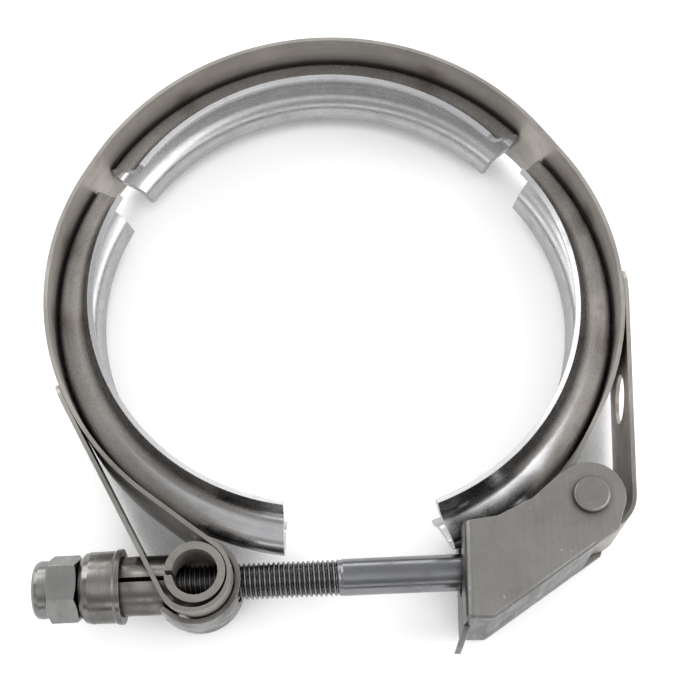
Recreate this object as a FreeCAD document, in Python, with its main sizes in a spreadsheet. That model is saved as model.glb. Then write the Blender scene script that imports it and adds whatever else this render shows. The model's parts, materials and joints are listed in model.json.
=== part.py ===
"""Quick-release V-band clamp, modelled lying flat.

A strip of stainless steel is rolled to a ring. Both of its ends fold back into loops. Three formed
segments with a V groove are spot-welded inside the ring. The left loop holds a rolled trunnion tube,
and a sheet saddle wraps round that loop and ends in two half shells that a collar holds together. The
T-bolt runs through saddle, tube and loop, with a locknut at its left end. Its head sits in a folded
latch that turns on a rivet in the right loop.

Frame: origin in the centre of the ring's top arc, +Z along the clamp's axis, closure on the -Y side.
All lengths are millimetres and all angles degrees.
"""
import FreeCAD, Part, Sketcher
import os
from math import acos, atan2, cos, degrees, hypot, radians, sin, sqrt

from FreeCAD import Placement, Rotation, Vector

DIMENSIONS = [
    # the rolled strip
    ("band_radius", 62.5, "outer radius of each rolled arc"),
    ("band_thickness", 0.9, "thickness of the strip"),
    ("band_width", 22.2, "width of the strip, along the clamp's axis"),
    ("leg_gap", 0.08, "gap between the strip and its folded-back leg"),
    ("leg_corner_radius", 4.0, "rounding of the leg's free corners"),
    ("left_gap_angle", 152.3, "where the ring opens between the top and left segments"),
    ("left_gap_length", 4.07, "straight stretch of strip there"),
    ("right_gap_angle", 35.65, "where the ring opens between the top and right segments"),
    ("right_gap_length", 7.88, "straight stretch of strip there"),
    ("left_leg_end_angle", 203.1, "end of the left folded-back leg"),
    ("right_leg_end_angle", 5.8, "end of the right folded-back leg"),
    ("leg_hole_diameter", 11.2, "round hole in the right leg"),
    ("leg_hole_distance", 25.6, "from the right loop's tangent point to that hole, along the leg"),
    # the segments with the V groove
    ("segment_thickness", 1.4, "sheet of the segments"),
    ("weld_gap", 0.1, "seat between segment and strip"),
    ("groove_base_half_width", 2.7, "half width of the segment's base, outside"),
    ("flange_angle", 20.0, "lean of a flange from the radial direction"),
    ("knee_depth", 6.8, "from the segment's back to the knee, along the radius"),
    ("foot_angle", 66.0, "lean of the foot from the radial direction"),
    ("foot_length", 4.45, "length of the foot beyond the knee, outside"),
    ("segment_bend_radius", 1.5, "inside radius of the segment's bends"),
    ("lip_land", 0.5, "narrow flat on the lip that touches the tube"),
    ("top_segment_slant", 11.0, "slant of the top segment's ends"),
    ("left_segment_slant", 6.5, "slant of the left segment's ends"),
    ("right_segment_slant", 11.0, "slant of the right segment's upper end"),
    ("right_segment_foot_slant", -5.0, "slant of its lower end, under the latch"),
    ("sweep_beyond", 3.0, "how far a segment is swept past each end before the ends are cut"),
    ("top_segment_from", 40.9, "start of the top segment"),
    ("top_segment_to", 150.3, "end of the top segment"),
    ("left_segment_from", 152.9, "start of the left segment"),
    ("left_segment_to", 263.5, "end of the left segment"),
    ("right_segment_from", -67.5, "start of the right segment"),
    ("right_segment_to", 40.2, "end of the right segment"),
    # trunnion, saddle and collar
    ("trunnion_x", -26.8, "axis of the trunnion tube"),
    ("trunnion_gap", 2.0, "from the tube's outside up to the level of the band's lowest point"),
    ("left_loop_shift", 0.35, "how far the loop lies off the tube, to the left and down"),
    ("tube_radius", 6.4, "outer radius of the tube"),
    ("tube_wall", 1.6, "wall of the tube"),
    ("tube_slit", 1.0, "slit left by rolling the tube"),
    ("loop_clearance", 0.35, "between tube and loop, and between loop and saddle"),
    ("saddle_thickness", 1.1, "sheet of the saddle"),
    ("saddle_strap_width", 11.0, "width of the saddle where it wraps round the loop"),
    ("shell_radius", 6.35, "outer radius of the saddle's half shells"),
    ("shell_slit", 1.0, "slit between the half shells"),
    ("shell_tube_gap", 0.15, "gap between the half shells and the tube"),
    ("ramp_length", 2.504, "straight run of the strap between the loop and the half shells"),
    ("strap_tuck_from", 48.0, "where the strap leaves the round of the loop, above"),
    ("strap_tuck_to", 130.0, "where it meets the upper half shell"),
    ("slot_side_clearance", 0.4, "beside the saddle in the strip's slots"),
    ("bolt_hole_clearance", 0.4, "round the bolt in tube, saddle and strip"),
    ("collar_clearance", 0.2, "between the collar and the half shells, on the radius"),
    ("collar_wall", 1.15, "wall of the collar"),
    ("collar_length", 9.1, "length of the collar"),
    ("collar_shoulder_radius", 2.4, "rounding of the collar's closed end"),
    ("collar_lip", 0.35, "how far the collar's lip flares out"),
    ("collar_lip_length", 1.6, "length of that lip"),
    ("collar_station", 25.5, "from the trunnion to the collar's closed end"),
    # locknut
    ("nut_across_flats", 12.7, "hexagon of the nut"),
    ("nut_height", 6.6, "height of the hexagon"),
    ("nut_seat_gap", 0.1, "between nut and collar"),
    ("nut_chamfer_angle", 30.0, "chamfer of the hexagon's corners"),
    ("dome_radius", 6.2, "radius of the nut's crimped crown"),
    ("dome_height", 3.2, "height of that crown"),
    ("dome_rounding", 1.4, "rounding of that crown"),
    ("insert_radius", 5.1, "outer radius of the locking insert"),
    ("insert_height", 2.0, "height of the insert"),
    ("insert_gap", 0.05, "round the insert"),
    # T-bolt
    ("bolt_angle", 2.66, "slope of the bolt"),
    ("bolt_diameter", 7.94, "5/16 inch"),
    ("thread_clearance", 0.05, "between bolt and nut, on the radius"),
    ("bolt_tail", 1.2, "how far the threaded end stands out of the hexagon, into the crown"),
    ("bolt_tail_chamfer", 0.8, "chamfer of that end"),
    ("head_station", 9.5, "from the latch's front to the axis of the cross head"),
    ("head_radius", 4.2, "radius of the cross head"),
    ("head_length", 19.0, "length of the cross head"),
    # latch, rivet and bush
    ("right_loop_angle", -41.48144, "where the right loop lies, seen from its arc's centre"),
    ("right_loop_gap", 1.15553, "between the ring and the right loop, outside both"),
    ("right_loop_ahead", 2.0, "centre of the right loop, to the right of the rivet"),
    ("right_loop_rise", 1.0, "centre of the right loop, above the rivet"),
    ("right_loop_radius", 7.0, "inner radius of the right loop"),
    ("bush_radius", 4.6, "outer radius of the bush"),
    ("rivet_radius", 3.2, "radius of the rivet's shank"),
    ("rivet_clearance", 0.05, "round the rivet's shank"),
    ("rivet_head_radius", 3.9, "radius of the rivet's heads"),
    ("rivet_head_height", 1.5, "height of the rivet's heads"),
    ("rivet_head_rounding", 0.6, "rounding of the rivet's heads"),
    ("latch_thickness", 1.4, "sheet of the latch"),
    ("latch_side_clearance", 0.25, "between the strip's edges and the latch"),
    ("ear_radius", 7.3, "radius of the latch's ears"),
    ("ear_corner_ahead", 5.4, "from the rivet to the ears' lower corner"),
    ("ear_corner_drop", 7.0, "that corner below the rivet"),
    ("web_distance", 27.0, "from the rivet to the latch's front"),
    ("web_top", 5.6, "top of the front, below the rivet"),
    ("web_bottom", 25.8, "bottom of the front, below the rivet"),
    ("heel_length", 5.7, "length of the level stretch under the front"),
    ("spine_length", 27.0, "length of the sloping spine"),
    ("latch_bend_radius", 1.8, "outside radius of the fold at the latch's front"),
    ("spine_bend_radius", 0.7, "outside radius of the tighter folds along its spine"),
    ("heel_corner_radius", 2.0, "rounding between heel and spine"),
    ("web_slot_width", 9.2, "slot for the bolt in the latch's front"),
    ("web_slot_seat", 1.5, "below the bolt in that slot"),
    ("tab_width", 8.0, "finger tab under the front"),
    ("tab_drop", 4.4, "how far the tab hangs down"),
    ("tab_lean", 1.6, "how far the tab leans forward"),
]

doc = FreeCAD.newDocument("VBandClamp")
dims = doc.addObject("Spreadsheet::Sheet", "Dims")
for row, (alias, value, meaning) in enumerate(DIMENSIONS, start=1):
    dims.set("A%d" % row, alias)
    dims.set("B%d" % row, str(value))
    dims.set("C%d" % row, meaning)
    dims.setAlias("B%d" % row, alias)
doc.recompute()


def size(alias):
    """The number in the sheet's cell of that alias."""
    return float(getattr(dims, alias))


# ---------------------------------------------------------------- small tools for features

def new_body(node):
    body = doc.addObject("PartDesign::Body", node)
    body.Label = node
    return body


def new_sketch(body, name, role):
    """A sketch on one of the body's own origin planes."""
    sketch = body.newObject("Sketcher::SketchObject", name)
    plane = next(item for item in body.Origin.OriginFeatures if item.Role == role)
    sketch.AttachmentSupport = [(plane, "")]
    sketch.MapMode = "FlatFace"
    return sketch


def draw_outline(sketch, corners):
    """Straight edges through corners; each corner is a pair of expressions."""
    count = len(corners)
    ring = [Vector(cos(6.2831853 * i / count), sin(6.2831853 * i / count), 0) for i in range(count)]
    first = sketch.GeometryCount
    for i in range(count):
        sketch.addGeometry(Part.LineSegment(ring[i], ring[(i + 1) % count]))
    for i in range(count):
        sketch.addConstraint(
            Sketcher.Constraint("Coincident", first + i, 2, first + (i + 1) % count, 1))
    for i, (across, up) in enumerate(corners):
        place_point(sketch, first + i, 1, across, up)


def draw_circle(sketch, across, up, radius):
    """A full circle; centre and radius are expressions."""
    index = sketch.addGeometry(Part.Circle(Vector(0, 0, 0), Vector(0, 0, 1), 1.0))
    place_point(sketch, index, 3, across, up)
    fixed = sketch.addConstraint(Sketcher.Constraint("Radius", index, 1.0))
    sketch.setExpression("Constraints[%d]" % fixed, radius)


def place_point(sketch, index, point, across, up):
    for kind, expression in (("DistanceX", across), ("DistanceY", up)):
        fixed = sketch.addConstraint(Sketcher.Constraint(kind, -1, 1, index, point, 1.0))
        sketch.setExpression("Constraints[%d]" % fixed, expression)


def pad(body, name, sketch, length):
    """A pad of that length, half to each side of the sketch."""
    feature = body.newObject("PartDesign::Pad", name)
    feature.Profile = sketch
    feature.SideType = "Symmetric"
    feature.setExpression("Length", length)
    return feature


def pocket(body, name, sketch, length=None):
    """A pocket to both sides of the sketch, through all if no length is given."""
    feature = body.newObject("PartDesign::Pocket", name)
    feature.Profile = sketch
    feature.SideType = "Symmetric"
    if length is None:
        feature.Type = "ThroughAll"
    else:
        feature.setExpression("Length", length)
    return feature


def revolve(body, name, sketch, kind="PartDesign::Revolution"):
    """The sketch turned a full turn about its own vertical axis."""
    feature = body.newObject(kind, name)
    feature.Profile = sketch
    feature.ReferenceAxis = (sketch, ["V_Axis"])
    feature.Angle = 360.0
    return feature


def round_edges(body, name, base, wanted, radius):
    """Fillet each edge of the base that the test picks."""
    doc.recompute()
    edges = ["Edge%d" % (i + 1) for i, edge in enumerate(base.Shape.Edges) if wanted(edge)]
    feature = body.newObject("PartDesign::Fillet", name)
    feature.Base = (base, edges)
    feature.setExpression("Radius", radius)
    return feature


def rounded_rim(radius, level, rounding, side):
    """Four points of a rounded rim, from the wall to the end face; side is +1 for an upper rim."""
    return [("%s - %s * %.4f" % (radius, rounding, 1 - cos(radians(turn))),
             "%s - %d * %s * %.4f" % (level, side, rounding, 1 - sin(radians(turn))))
            for turn in (0, 30, 60, 90)]


def place_body(body, x, y, angle=None):
    """Put a body down in the clamp's plane; x, y and angle are expressions."""
    body.Placement = Placement(Vector(0, 0, 0), Rotation(Vector(0, 0, 1), 1.0 if angle else 0.0))
    body.setExpression("Placement.Base.x", x)
    body.setExpression("Placement.Base.y", y)
    if angle:
        body.setExpression("Placement.Rotation.Angle", angle)


# ---------------------------------------------------------------- centres, directions and the strip's path

def polar(centre, radius, angle):
    return centre + Vector(radius * cos(radians(angle)), radius * sin(radians(angle)), 0)


ORIGIN = Vector(0, 0, 0)
UP = Vector(0, 0, 1)
TRUNNION_Y = "-(Dims.band_radius + Dims.tube_radius + Dims.trunnion_gap)"
TRUNNION = Vector(size("trunnion_x"), -size("band_radius") - size("tube_radius") - size("trunnion_gap"), 0)
LEFT_LOOP = TRUNNION - Vector(size("left_loop_shift"), size("left_loop_shift"), 0)
LEFT_CENTRE = polar(ORIGIN, size("left_gap_length"), size("left_gap_angle") + 90)
RIGHT_CENTRE = polar(ORIGIN, size("right_gap_length"), size("right_gap_angle") - 90)
LEFT_CENTRE_XY = ("-Dims.left_gap_length * sin(Dims.left_gap_angle)",
                  "Dims.left_gap_length * cos(Dims.left_gap_angle)")
RIGHT_CENTRE_XY = ("Dims.right_gap_length * sin(Dims.right_gap_angle)",
                   "-Dims.right_gap_length * cos(Dims.right_gap_angle)")
RIGHT_LOOP = polar(RIGHT_CENTRE, size("band_radius") + size("right_loop_gap") + size("band_thickness")
                   + size("right_loop_radius"), size("right_loop_angle"))
TO_RIGHT_LOOP = "(Dims.band_radius + Dims.right_loop_gap + Dims.band_thickness + Dims.right_loop_radius)"
PIVOT_X = "(%s + %s * cos(Dims.right_loop_angle) - Dims.right_loop_ahead)" % (RIGHT_CENTRE_XY[0], TO_RIGHT_LOOP)
PIVOT_Y = "(%s + %s * sin(Dims.right_loop_angle) - Dims.right_loop_rise)" % (RIGHT_CENTRE_XY[1], TO_RIGHT_LOOP)
BOLT_AXIS = polar(ORIGIN, 1, size("bolt_angle"))
BOLT_NORMAL = polar(ORIGIN, 1, size("bolt_angle") + 90)

STRIP_RADIUS = size("band_radius") - size("band_thickness") / 2
LEG_RADIUS = size("band_radius") + size("leg_gap") + size("band_thickness") / 2
LEFT_LOOP_RADIUS = size("tube_radius") + size("loop_clearance") + size("left_loop_shift") \
    + size("band_thickness") / 2
RIGHT_LOOP_RADIUS = size("right_loop_radius") + size("band_thickness") / 2


def tangent_angles(centre, loop, loop_radius, side):
    """Where the ring leg and the folded-back leg touch the ring and the loop.

    side is -1 for the left loop and +1 for the right one.
    """
    across = loop - centre
    distance = hypot(across.x, across.y)
    bearing = degrees(atan2(across.y, across.x))
    crossing = degrees(acos((STRIP_RADIUS + loop_radius) / distance))
    outer = degrees(acos((LEG_RADIUS - loop_radius) / distance))
    return bearing + side * crossing, bearing + side * outer


LEFT_RING_LEG, LEFT_OUTER_LEG = tangent_angles(LEFT_CENTRE, LEFT_LOOP, LEFT_LOOP_RADIUS, -1)
RIGHT_RING_LEG, RIGHT_OUTER_LEG = tangent_angles(RIGHT_CENTRE, RIGHT_LOOP, RIGHT_LOOP_RADIUS, 1)


def strip_arcs():
    """The strip's arcs in order, from the left leg's free end to the right leg's.

    Each is (centre, radius of the middle line, first angle, last angle); tangent lines join them.
    """
    left_leg_end = size("left_leg_end_angle") - 360
    return [
        (LEFT_CENTRE, LEG_RADIUS, left_leg_end, LEFT_OUTER_LEG),
        (LEFT_LOOP, LEFT_LOOP_RADIUS, LEFT_OUTER_LEG, LEFT_RING_LEG + 180),
        (LEFT_CENTRE, STRIP_RADIUS, LEFT_RING_LEG + 360, size("left_gap_angle")),
        (ORIGIN, STRIP_RADIUS, size("left_gap_angle"), size("right_gap_angle")),
        (RIGHT_CENTRE, STRIP_RADIUS, size("right_gap_angle"), RIGHT_RING_LEG),
        (RIGHT_LOOP, RIGHT_LOOP_RADIUS, RIGHT_RING_LEG - 180, RIGHT_OUTER_LEG),
        (RIGHT_CENTRE, LEG_RADIUS, RIGHT_OUTER_LEG, size("right_leg_end_angle")),
    ]


def strip_side(arcs, offset):
    """Arcs and tangent lines at that distance to the left of the middle line."""
    edges = []
    last = None
    for centre, radius, start, end in arcs:
        turn = 1 if end > start else -1
        reach = radius - turn * offset
        points = [polar(centre, reach, start + (end - start) * share) for share in (0, 0.5, 1)]
        if last is not None:
            edges.append(Part.LineSegment(last, points[0]).toShape())
        edges.append(Part.Arc(*points).toShape())
        last = points[2]
    return edges


def strip_face(arcs, thickness):
    """The strip's section through the clamp's plane."""
    left = strip_side(arcs, thickness / 2)
    right = strip_side(arcs, -thickness / 2)
    caps = [
        Part.LineSegment(left[0].firstVertex(True).Point, right[0].firstVertex(True).Point).toShape(),
        Part.LineSegment(left[-1].lastVertex(True).Point, right[-1].lastVertex(True).Point).toShape(),
    ]
    wire = Part.Wire(Part.__sortEdges__(left + right + caps))
    return Part.Face(wire)


def extruded(name, face, width):
    """A face of the clamp's plane, extruded half to each side."""
    profile = doc.addObject("Part::Feature", name + "_section")
    profile.Shape = face
    solid = doc.addObject("Part::Extrusion", name + "_strip")
    solid.Base = profile
    solid.Dir = UP
    solid.DirMode = "Custom"
    solid.Solid = True
    solid.Symmetric = True
    solid.setExpression("LengthFwd", width)
    return solid


def polygon_face(points):
    return Part.Face(Part.makePolygon(points + points[:1]))


def cylinder(name, radius, height, base, direction):
    """A Part cylinder; radius and height are expressions."""
    tool = doc.addObject("Part::Cylinder", name)
    tool.setExpression("Radius", radius)
    tool.setExpression("Height", height)
    tool.Placement = Placement(base, Rotation(UP, direction))
    return tool


def bolt_point(station, rise=0.0):
    """A point at that distance along the bolt from the trunnion, and that far above its axis."""
    return TRUNNION + BOLT_AXIS * station + BOLT_NORMAL * rise


def cut_all(node, base, tools):
    """The base less every tool, as the object of that node."""
    fused = tools[0]
    if len(tools) > 1:
        fused = doc.addObject("Part::MultiFuse", node + "_tools")
        fused.Shapes = tools
    cut = doc.addObject("Part::Cut", node)
    cut.Base = base
    cut.Tool = fused
    cut.Label = node
    return cut


# ---------------------------------------------------------------- the sub-parts

def make_band():
    """One strip: ring, two loops, two folded-back legs, with the slots that the saddle passes through."""
    strip = extruded("band", strip_face(strip_arcs(), size("band_thickness")), "Dims.band_width")

    shell = size("shell_radius")
    loop = LEFT_LOOP_RADIUS + size("band_thickness")
    window = [bolt_point(-3 * shell, shell + 2.4), bolt_point(-shell / 2, shell + 2.4),
              bolt_point(-0.9, -size("tube_radius") + 1.4), bolt_point(-1.7, -loop - 1.7),
              bolt_point(-3 * shell, -loop - 1.7)]
    leg_window = extruded("leg_window", polygon_face(window),
                          "2 * (Dims.shell_radius + Dims.slot_side_clearance)")

    along = polar(ORIGIN, 1, LEFT_RING_LEG - 90)
    outward = polar(ORIGIN, 1, LEFT_RING_LEG)
    near = LEFT_LOOP - outward * (LEFT_LOOP_RADIUS - size("band_thickness"))
    far = LEFT_LOOP - outward * (LEFT_LOOP_RADIUS + size("band_thickness"))
    first, last = -1.6, size("shell_radius") + 1.6
    ring_window = extruded("ring_window", polygon_face(
        [near + along * first, near + along * last, far + along * last, far + along * first]),
        "Dims.saddle_strap_width + 2 * Dims.slot_side_clearance")

    bolt_hole = cylinder("loop_bolt_hole", "Dims.bolt_diameter / 2 + Dims.bolt_hole_clearance + 0.3",
                         "2 * Dims.tube_radius", TRUNNION, BOLT_AXIS)

    leg_normal = polar(ORIGIN, 1, RIGHT_OUTER_LEG)
    leg_along = polar(ORIGIN, 1, RIGHT_OUTER_LEG + 90)
    hole_at = RIGHT_LOOP + leg_normal * (RIGHT_LOOP_RADIUS - 3) + leg_along * size("leg_hole_distance")
    leg_hole = cylinder("leg_hole", "Dims.leg_hole_diameter / 2", "6", hole_at, leg_normal)

    pierced = cut_all("band_pierced", strip, [leg_window, ring_window, bolt_hole, leg_hole])
    doc.recompute()
    thickness, half_width = size("band_thickness"), size("band_width") / 2
    ends = [polar(LEFT_CENTRE, LEG_RADIUS, size("left_leg_end_angle")),
            polar(RIGHT_CENTRE, LEG_RADIUS, size("right_leg_end_angle"))]
    corners = []
    for number, edge in enumerate(pierced.Shape.Edges, start=1):
        middle = edge.CenterOfMass
        at_end = min((middle - Vector(end.x, end.y, middle.z)).Length for end in ends) < thickness
        if at_end and abs(edge.Length - thickness) < 0.01 and abs(abs(middle.z) - half_width) < 0.01:
            corners.append((number, size("leg_corner_radius"), size("leg_corner_radius")))
    band = doc.addObject("Part::Fillet", "band")
    band.Base = pierced
    band.Edges = corners
    band.Label = "band"
    return band


def bend(corner, first, second, radius, side):
    """Start, middle and end of a bend; first and second are the leans before and after it."""
    half = "((%s - %s) / 2)" % ((second, first) if side > 0 else (first, second))
    mean = "((%s + %s) / 2)" % (first, second)
    reach = "%s * tan%s" % (radius, half)
    depth = "%d * %s * (1 / cos%s - 1)" % (side, radius, half)
    return [
        ("%s + %s * cos(%s)" % (corner[0], reach, first), "%s - %s * sin(%s)" % (corner[1], reach, first)),
        ("%s + %s * sin%s" % (corner[0], depth, mean), "%s + %s * cos%s" % (corner[1], depth, mean)),
        ("%s - %s * cos(%s)" % (corner[0], reach, second), "%s + %s * sin(%s)" % (corner[1], reach, second)),
    ]


def segment_corners():
    """The segment's section: back, flange, knee, foot and lip outside, then the same inside."""
    back = "(Dims.band_radius - Dims.band_thickness - Dims.weld_gap)"
    sheet = "Dims.segment_thickness"
    half = "Dims.groove_base_half_width"
    lean, foot = "Dims.flange_angle", "Dims.foot_angle"
    tight, wide = "Dims.segment_bend_radius", "(Dims.segment_bend_radius + Dims.segment_thickness)"
    knee = ("%s - Dims.knee_depth" % back, "%s + Dims.knee_depth * tan(%s)" % (half, lean))
    lip = ("%s - Dims.foot_length * cos(%s)" % (knee[0], foot),
           "%s + Dims.foot_length * sin(%s)" % (knee[1], foot))
    bisector = "((%s + %s) / 2)" % (lean, foot)
    mitre = "%s / cos((%s - %s) / 2)" % (sheet, foot, lean)
    inner_lip = ("%s - %s * sin(%s)" % (lip[0], sheet, foot), "%s - %s * cos(%s)" % (lip[1], sheet, foot))
    inner_knee = ("%s - %s * sin%s" % (knee[0], mitre, bisector),
                  "%s - %s * cos%s" % (knee[1], mitre, bisector))
    inner_base = ("%s - %s" % (back, sheet), "%s - %s * (1 - sin(%s)) / cos(%s)" % (half, sheet, lean, lean))
    land = [
        ("%s + Dims.lip_land * cos(%s) * sin(%s)" % (inner_lip[0], foot, foot),
         "%s + Dims.lip_land * cos(%s) ^ 2" % (inner_lip[1], foot)),
        ("%s + Dims.lip_land * cos(%s) * sin(%s)" % (inner_lip[0], foot, foot),
         "%s - Dims.lip_land * sin(%s) ^ 2" % (inner_lip[1], foot)),
    ]
    outside = bend((back, half), "90", lean, wide, -1) + bend(knee, lean, foot, tight, 1)
    inside = bend(inner_base, "90", lean, tight, -1) + bend(inner_knee, lean, foot, wide, 1)
    one_side = outside + [lip] + land + inside[::-1]
    other_side = [(across, "-(%s)" % up) for across, up in reversed(one_side)]
    return one_side + other_side


def cut_end(body, name, angle, slant, side):
    """Cut a segment off at that angle; side is +1 at its far end and -1 at its near one."""
    outline = new_sketch(body, name + "_outline", "XY_Plane")
    outline.AttachmentOffset = Placement(ORIGIN, Rotation(UP, 10))
    outline.setExpression("AttachmentOffset.Rotation.Angle", angle)
    back = "(Dims.band_radius - Dims.band_thickness - Dims.weld_gap)"
    depth = "(Dims.knee_depth + Dims.foot_length + Dims.segment_thickness)"
    draw_outline(outline, [
        ("%s + 2" % back, "%d * 2 * tan(%s)" % (side, slant)),
        ("%s - %s" % (back, depth), "-%d * %s * tan(%s)" % (side, depth, slant)),
        ("%s - %s" % (back, depth), "%d * 6" % side), ("%s + 2" % back, "%d * 6" % side)])
    return pocket(body, name, outline)


def make_segment(node, centre_xy, start, end, start_slant, end_slant):
    """A formed segment, swept a little too far and cut off with a slant at each end."""
    body = new_body(node)
    section = new_sketch(body, node + "_section", "XZ_Plane")
    draw_outline(section, segment_corners())
    swept = revolve(body, node + "_swept", section)
    swept.Midplane = True
    swept.setExpression("Angle", "%s - (%s) + 2 * Dims.sweep_beyond" % (end, start))
    half_span = "(%s - (%s)) / 2" % (end, start)
    cut_end(body, node + "_far_end", half_span, end_slant, 1)
    cut_end(body, node + "_near_end", "-" + half_span, start_slant, -1)
    place_body(body, centre_xy[0], centre_xy[1], "(%s + %s) / 2" % (start, end))
    return body


def make_trunnion_tube():
    """A rolled tube across the loop, slit towards the nut and drilled for the bolt."""
    body = new_body("trunnion_tube")
    ring = new_sketch(body, "tube_section", "XY_Plane")
    draw_circle(ring, "0", "0", "Dims.tube_radius")
    draw_circle(ring, "0", "0", "Dims.tube_radius - Dims.tube_wall")
    pad(body, "tube_wall", ring, "Dims.band_width")
    slit = new_sketch(body, "tube_slit_outline", "XY_Plane")
    draw_outline(slit, [("-Dims.tube_radius - 1", "-Dims.tube_slit / 2"), ("-1", "-Dims.tube_slit / 2"),
                        ("-1", "Dims.tube_slit / 2"), ("-Dims.tube_radius - 1", "Dims.tube_slit / 2")])
    pocket(body, "tube_slit", slit)
    hole = new_sketch(body, "tube_bolt_hole_outline", "YZ_Plane")
    draw_circle(hole, "0", "0", "Dims.bolt_diameter / 2 + Dims.bolt_hole_clearance")
    pocket(body, "tube_bolt_hole", hole)
    place_body(body, "Dims.trunnion_x", TRUNNION_Y, "Dims.bolt_angle")
    return body


def make_saddle():
    """A sheet strap round the outside of the loop that opens into two half shells round the bolt."""
    thickness = size("saddle_thickness")
    wrap = LEFT_LOOP_RADIUS + size("band_thickness") / 2 + size("loop_clearance") + thickness / 2
    rise = size("shell_radius") - thickness / 2
    start = sqrt(wrap ** 2 + size("ramp_length") ** 2 - rise ** 2)
    leave = 180 - degrees(atan2(rise, start)) - degrees(acos(wrap / hypot(start, rise)))
    slope = size("bolt_angle")
    shift = TRUNNION - LEFT_LOOP
    shift = Rotation(UP, -slope).multVec(shift)
    tuck = size("tube_radius") + size("shell_tube_gap") + thickness / 2
    sides = []
    for offset in (thickness / 2, -thickness / 2):
        reach = wrap + offset
        lean = polar(ORIGIN, offset, leave)
        lower = Vector(-start + lean.x, -rise - lean.y, 0)
        tucked = shift + polar(ORIGIN, tuck + offset, size("strap_tuck_to"))
        middle = shift + polar(ORIGIN, (wrap + tuck) / 2 + offset,
                               (size("strap_tuck_from") + size("strap_tuck_to")) / 2)
        turn = polar(ORIGIN, reach, size("strap_tuck_from"))
        sides.append([
            Part.Arc(tucked, middle, turn).toShape(),
            Part.Arc(turn, polar(ORIGIN, reach, -20), polar(ORIGIN, reach, -leave)).toShape(),
            Part.LineSegment(polar(ORIGIN, reach, -leave), lower).toShape()])
    outer, inner = sides
    caps = [Part.LineSegment(outer[0].firstVertex(True).Point, inner[0].firstVertex(True).Point).toShape(),
            Part.LineSegment(outer[2].lastVertex(True).Point, inner[2].lastVertex(True).Point).toShape()]
    face = Part.Face(Part.Wire(Part.__sortEdges__(outer + inner + caps)))
    face.rotate(ORIGIN, UP, slope)
    face.translate(LEFT_LOOP)
    strap = extruded("saddle_strap", face, "Dims.saddle_strap_width")

    closed_end = size("collar_station") - size("collar_wall")
    length = "Dims.collar_station - Dims.collar_wall - 2"
    shell = cylinder("shell_outside", "Dims.shell_radius", length, bolt_point(-closed_end), BOLT_AXIS)
    body = doc.addObject("Part::MultiFuse", "saddle_body")
    body.Shapes = [shell, strap]

    inside = cylinder("shell_inside", "Dims.shell_radius - Dims.saddle_thickness",
                      "Dims.collar_station", bolt_point(-size("collar_station")), BOLT_AXIS)
    tube_room = cylinder("tube_room", "Dims.tube_radius + Dims.shell_tube_gap", "3 * Dims.band_width",
                         TRUNNION - UP * 1.5 * size("band_width"), UP)
    right_hole = cylinder("saddle_bolt_hole", "Dims.bolt_diameter / 2 + Dims.bolt_hole_clearance",
                          "2 * Dims.tube_radius", TRUNNION, BOLT_AXIS)
    slit = doc.addObject("Part::Box", "shell_slit")
    slit.setExpression("Length", "Dims.collar_station")
    slit.setExpression("Width", "Dims.shell_slit")
    slit.setExpression("Height", "4 * Dims.shell_radius")
    slit.Placement = Placement(
        bolt_point(-size("collar_station"), -size("shell_slit") / 2) - UP * 2 * size("shell_radius"),
        Rotation(UP, slope))
    return cut_all("saddle", body, [inside, tube_room, right_hole, slit])


def bolt_placement(station, towards_head):
    """Local Z along the bolt from that station, to the head or to the nut's side."""
    if towards_head:
        return Placement(bolt_point(station), Rotation(BOLT_NORMAL, UP, BOLT_AXIS, "ZXY"))
    return Placement(bolt_point(station), Rotation(UP, BOLT_NORMAL, BOLT_AXIS * -1, "ZXY"))


def make_collar():
    """A drawn cup that holds the half shells together and seats the nut."""
    body = new_body("collar")
    section = new_sketch(body, "collar_section", "XZ_Plane")
    outside = "(Dims.shell_radius + Dims.collar_clearance + Dims.collar_wall)"
    wall = "Dims.collar_wall"
    bore = "Dims.bolt_diameter / 2 + Dims.bolt_hole_clearance"
    lip = "Dims.collar_length - Dims.collar_lip_length"
    draw_outline(section, [(bore, "0")] + rounded_rim(outside, "0", "Dims.collar_shoulder_radius", -1)[::-1] + [
        (outside, lip), ("%s + Dims.collar_lip" % outside, lip + " + 0.6"),
        ("%s + Dims.collar_lip" % outside, "Dims.collar_length"),
        ("%s - %s" % (outside, wall), "Dims.collar_length"), ("%s - %s" % (outside, wall), wall),
        (bore, wall)])
    revolve(body, "collar_cup", section)
    body.Placement = bolt_placement(-size("collar_station"), True)
    return body


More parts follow.
